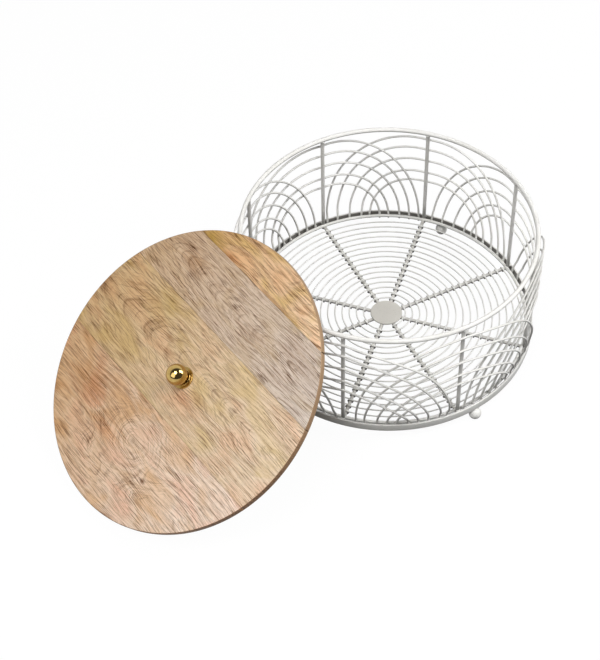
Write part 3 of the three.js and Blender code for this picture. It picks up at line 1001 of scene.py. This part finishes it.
def build_disc(bm):
    corners = [
        (0, DISC_FACE, False), (DISC_RADIUS, DISC_FACE, True),
        (DISC_RADIUS, DISC_UNDER, True), (0, DISC_UNDER, False),
    ]
    profile = rounded(corners, DISC_EASING)
    for i, share in enumerate(DISC_FACE_RINGS):
        profile.insert(i + 1, (DISC_RADIUS * share, DISC_FACE))
    turned(bm, profile, steps=96, place=basket_place)


def build_foot(bm, azimuth):
    """A ball with a small flat below, and a stem that runs into the band above."""
    flat = math.sqrt(FOOT_RADIUS ** 2 - FOOT_CENTRE ** 2)
    start = math.asin(-FOOT_CENTRE / FOOT_RADIUS)
    steps = 24
    profile = [(0, 0), (flat * 0.8, 0)]
    for i in range(steps + 1):
        a = mix(start, math.radians(FOOT_BALL_END), i / steps)
        profile.append((FOOT_RADIUS * math.cos(a), FOOT_CENTRE + FOOT_RADIUS * math.sin(a)))
    place = Matrix.Translation(around(azimuth, FOOT_DISTANCE, 0))
    turned(bm, profile + FOOT_STEM, steps=48, place=place)


piece("rim", build_rim, paint, ["top_rim"])
piece("band", build_band, band_paint, ["base_band"])
piece("ring", build_ring, paint, ["base_ring"])
for i in range(POSTS):
    fan = f"wall_fan_{i + 1}"
    spoke = f"base_spoke_{i + 1}"
    piece(f"fan_{i + 1}", lambda bm: build_fan(bm, i), paint, [fan])
    piece(f"spoke_{i + 1}", lambda bm: build_spoke(bm, i), spoke_paint, [spoke])
piece("winding", build_spiral, winding_paint, ["base_spiral"])
piece("disc", build_disc, disc_paint, ["base_disc"])
for i, azimuth in enumerate(FOOT_AZIMUTHS):
    foot = f"foot_{i + 1}"
    piece(f"ball_{foot}", lambda bm: build_foot(bm, azimuth), paint, [foot])


# Lid
def outline(radius, low, high, inset):
    """Corners of a plank at one level: the part of a round board between two seams."""
    points = []
    top = math.asin(min(1.0, (high - inset) / radius)) if high is not None else math.pi / 2
    bottom = math.asin(max(-1.0, (low + inset) / radius)) if low is not None else -math.pi / 2
    for i in range(ARC_STEPS + 1):
        a = mix(bottom, top, i / ARC_STEPS)
        points.append((radius * math.cos(a), radius * math.sin(a)))
    if high is not None:
        wide = points[ARC_STEPS][0]
        for i in range(1, SEAM_STEPS):
            points.append((mix(wide, -wide, i / SEAM_STEPS), high - inset))
    first = 1 if high is None else 0
    last = ARC_STEPS - 1 if low is None else ARC_STEPS
    for i in range(first, last + 1):
        a = mix(top, bottom, i / ARC_STEPS)
        points.append((-radius * math.cos(a), radius * math.sin(a)))
    if low is not None:
        wide = radius * math.cos(bottom)
        for i in range(1, SEAM_STEPS):
            points.append((mix(-wide, wide, i / SEAM_STEPS), low + inset))
    return points


def under_edge(radius, height, easing, steps):
    """Levels of an eased lower edge from below: (radius, height, inset at the seams)."""
    out = []
    for i in range(steps + 1):
        a = math.pi / 2 * i / steps
        out.append((radius - easing * (1 - math.sin(a)), height + easing * (1 - math.cos(a)), 0))
    return out


def top_edge(steps):
    """Levels of the eased upper edge, where the seams are eased as well."""
    out = []
    for i in range(steps + 1):
        a = math.pi / 2 * i / steps
        over = max(0.0, math.sin(a) - SEAM_EASING_START)
        inset = SEAM_EASING * over / (1 - SEAM_EASING_START)
        radius = LID_RADIUS - BOARD_EASING * (1 - math.cos(a))
        out.append((radius, -BOARD_EASING * (1 - math.sin(a)), inset))
    return out


def build_plank(bm, low, high):
    """A plank between two seams, with the lip below that drops inside the rim."""
    levels = under_edge(LIP_RADIUS, LIP_UNDER, LIP_EASING, steps=4)
    levels.append((LIP_RADIUS, BOARD_UNDER, 0))
    levels += under_edge(LID_RADIUS, BOARD_UNDER, UNDER_EASING, steps=6)
    levels += top_edge(steps=5)
    rings = []
    for radius, height, inset in levels:
        ring = []
        for x, y in outline(radius, low, high, inset + SEAM_GAP):
            ring.append(bm.verts.new(Vector((x, y, height)) * MM))
        rings.append(ring)
    skin(bm, rings, False)
    bm.faces.new(rings[0])
    bm.faces.new(rings[-1])


def turned_at_knob(bm, profile, steps):
    """A profile turned round the knob's axis."""
    turned(bm, profile, steps, Matrix.Translation(KNOB_OFFSET))


def build_collar(bm):
    corners = [
        (0, 0, False), (COLLAR_RADIUS, 0, True), (COLLAR_RADIUS, COLLAR_TOP, True),
        (COLLAR_STEP_RADIUS, COLLAR_TOP, True), (COLLAR_STEP_RADIUS, COLLAR_STEP_TOP, True),
        (0, COLLAR_STEP_TOP, False),
    ]
    turned_at_knob(bm, rounded(corners, COLLAR_EASING), steps=72)


def build_knob(bm):
    start = math.asin(NECK_RADIUS / KNOB_RADIUS)
    steps = 40
    profile = [
        (0, COLLAR_STEP_TOP), (NECK_RADIUS + NECK_FILLET, COLLAR_STEP_TOP),
        (NECK_RADIUS, COLLAR_STEP_TOP + NECK_FILLET),
    ]
    for i in range(steps + 1):
        a = mix(start, math.pi, i / steps)
        radius = KNOB_RADIUS * math.sin(a) if i < steps else 0
        profile.append((radius, KNOB_CENTRE - KNOB_RADIUS * math.cos(a)))
    turned_at_knob(bm, profile, steps=72)


def build_washer(bm):
    corners = [
        (WASHER_HOLE, WASHER_UNDER, True), (WASHER_RADIUS, WASHER_UNDER, True),
        (WASHER_RADIUS, WASHER_TOP, True), (WASHER_HOLE, WASHER_TOP, True),
    ]
    turned_at_knob(bm, rounded(corners, WASHER_EASING), steps=48)


def build_screw(bm):
    """The shank in the board, and a domed head with a socket below the washer."""
    head = [(SCREW_HEAD_RADIUS, SCREW_HEAD_TOP), (SCREW_HEAD_RADIUS, SCREW_HEAD_EDGE)]
    steps = 8
    for i in range(1, steps + 1):
        a = math.pi / 2 * i / steps
        radius = SCREW_HEAD_FLAT + SCREW_DOME_WIDTH * math.cos(a)
        head.append((radius, SCREW_HEAD_EDGE - SCREW_DOME_DEPTH * math.sin(a)))
    turned_at_knob(bm, SCREW_SHANK + head + SCREW_SOCKET, steps=40)


edges = [None, *SEAMS, None]
plank_slots = ["wood_orange", "wood_grey", "wood_yellow", "wood_pink"]
for i, (material, plank_slot) in enumerate(zip(woods, plank_slots)):
    high = edges[i]
    low = edges[i + 1]
    plank = f"lid_plank_{i + 1}"
    piece(
        f"plank_{i + 1}", lambda bm: build_plank(bm, low, high), material, [plank],
        "lid", flat=True,
    )
piece("collar", build_collar, brass, ["knob_collar"], "lid", flat=True)
piece("knob", build_knob, brass, ["knob_ball"], "lid")
piece("washer", build_washer, zinc, ["knob_washer"], "lid", flat=True)
piece("screw", build_screw, zinc, ["knob_screw"], "lid", flat=True)

# Camera, fitted to the photograph: its aim from the foot of the basket's axis, and its place
CAMERA_TARGET = Vector((-92.23, 0, -4.52))
CAMERA_DISTANCE = 1803.55
CAMERA_ELEVATION = 48.47
CAMERA_ROLL = -1.63
CAMERA_FOCAL_PIXELS = 1679.73
PHOTO_HEIGHT = 660
SENSOR_WIDTH = 36


def build_camera():
    elevation = math.radians(CAMERA_ELEVATION)
    roll = math.radians(CAMERA_ROLL)
    forward = Vector((0, math.cos(elevation), -math.sin(elevation)))
    level_right = Vector((1, 0, 0))
    level_up = Vector((0, math.sin(elevation), math.cos(elevation)))
    right = level_right * math.cos(roll) + level_up * math.sin(roll)
    above = level_up * math.cos(roll) - level_right * math.sin(roll)
    eye = Vector((rim_middle.x, rim_middle.y, 0)) + CAMERA_TARGET - forward * CAMERA_DISTANCE
    data = bpy.data.cameras.new("photo_camera")
    data.sensor_fit = "AUTO"
    data.sensor_width = SENSOR_WIDTH
    data.lens = CAMERA_FOCAL_PIXELS / PHOTO_HEIGHT * SENSOR_WIDTH
    camera = bpy.data.objects.new("photo_camera", data)
    turn = Matrix((right, above, -forward)).transposed().to_4x4()
    camera.matrix_world = Matrix.Translation(eye * MM) @ turn
    bpy.context.scene.collection.objects.link(camera)
    bpy.context.scene.camera = camera


# Floor, world and lamps, in metres. DARK_ROOM points to the studio's dark side, and ROOM_EDGE
# says how far a direction points along it where the room is dark and where it is white
FLOOR_REACH = 6.0
FLOOR_DROP = 0.0002
FLOOR_BOUNCE = (0.19, 0.19, 0.19, 1)
FLOOR_GLOW = 0.965
FILL_TONE = (1, 0.99, 0.98, 1)
FILL = 0.09
DARK_ROOM = (0.1, -0.7, 0.71)
ROOM_EDGE = (0.38, 0.14)


def build_floor():
    """A floor that looks white to the camera and in metal, but throws little light back."""
    mesh = bpy.data.meshes.new("floor")
    reach = FLOOR_REACH
    corners = [(-reach, -reach, 0), (reach, -reach, 0), (reach, reach, 0), (-reach, reach, 0)]
    mesh.from_pydata(corners, [], [(0, 1, 2, 3)])
    floor = bpy.data.objects.new("floor", mesh)
    floor.location.z = -FLOOR_DROP
    bpy.context.scene.collection.objects.link(floor)
    s = Shader("pale_floor")
    path = s.node("ShaderNodeLightPath")
    seen = s.math("MAXIMUM", path.outputs["Is Camera Ray"], path.outputs["Is Glossy Ray"])
    s.set(Base_Color=s.blend(seen, FLOOR_BOUNCE, WHITE))
    s.bsdf.inputs["Roughness"].default_value = 0.9
    s.bsdf.inputs["Specular IOR Level"].default_value = 0.0
    glow = s.node("ShaderNodeEmission")
    glow.inputs["Color"].default_value = WHITE
    share = s.math("MULTIPLY", seen, FLOOR_GLOW)
    s.cover("Material Output", share, s.bsdf.outputs[0], glow.outputs[0])
    mesh.materials.append(s.material)


def build_world():
    """Low fill light. The camera sees white, and metal sees white with a darker room in it."""
    world = bpy.data.worlds.new("studio")
    bpy.context.scene.world = world
    world.use_nodes = True
    s = Nodes(world.node_tree)
    fill = s.tree.nodes["Background"]
    fill.inputs["Color"].default_value = FILL_TONE
    fill.inputs["Strength"].default_value = FILL
    white = s.node("ShaderNodeBackground")
    white.inputs["Color"].default_value = WHITE
    white.inputs["Strength"].default_value = 1.0
    where = s.node("ShaderNodeTexCoord")
    room = s.node("ShaderNodeVectorMath", operation="DOT_PRODUCT")
    s.feed(room.inputs[0], where.outputs["Generated"])
    room.inputs[1].default_value = DARK_ROOM
    backdrop = s.span(room.outputs["Value"], *ROOM_EDGE)
    path = s.node("ShaderNodeLightPath")
    shiny = s.math("MULTIPLY", path.outputs["Is Glossy Ray"], backdrop)
    seen = s.math("MAXIMUM", path.outputs["Is Camera Ray"], path.outputs["Is Transmission Ray"])
    share = s.math("MAXIMUM", seen, shiny)
    s.cover("World Output", share, fill.outputs[0], white.outputs[0])


def lamp(name, azimuth, elevation, distance, size, power):
    """A softbox, size wide and tall in metres, aimed at the middle of the object."""
    data = bpy.data.lights.new(name, "AREA")
    data.shape = "RECTANGLE"
    data.size, data.size_y = size
    data.energy = power
    made = bpy.data.objects.new(name, data)
    bpy.context.scene.collection.objects.link(made)
    a = math.radians(azimuth)
    e = math.radians(elevation)
    towards = Vector((math.sin(a) * math.cos(e), math.cos(a) * math.cos(e), math.sin(e)))
    made.location = towards * distance
    made.rotation_euler = (-towards).to_track_quat("-Z", "Y").to_euler()


build_camera()
build_floor()
build_world()
lamp("right", azimuth=92, elevation=42, distance=2.0, size=(0.8, 1.5), power=30)
lamp("left", azimuth=222, elevation=34, distance=1.9, size=(1.3, 1.3), power=10)
lamp("top", azimuth=205, elevation=66, distance=2.1, size=(0.9, 0.9), power=24)

bpy.context.scene.view_settings.view_transform = "Standard"
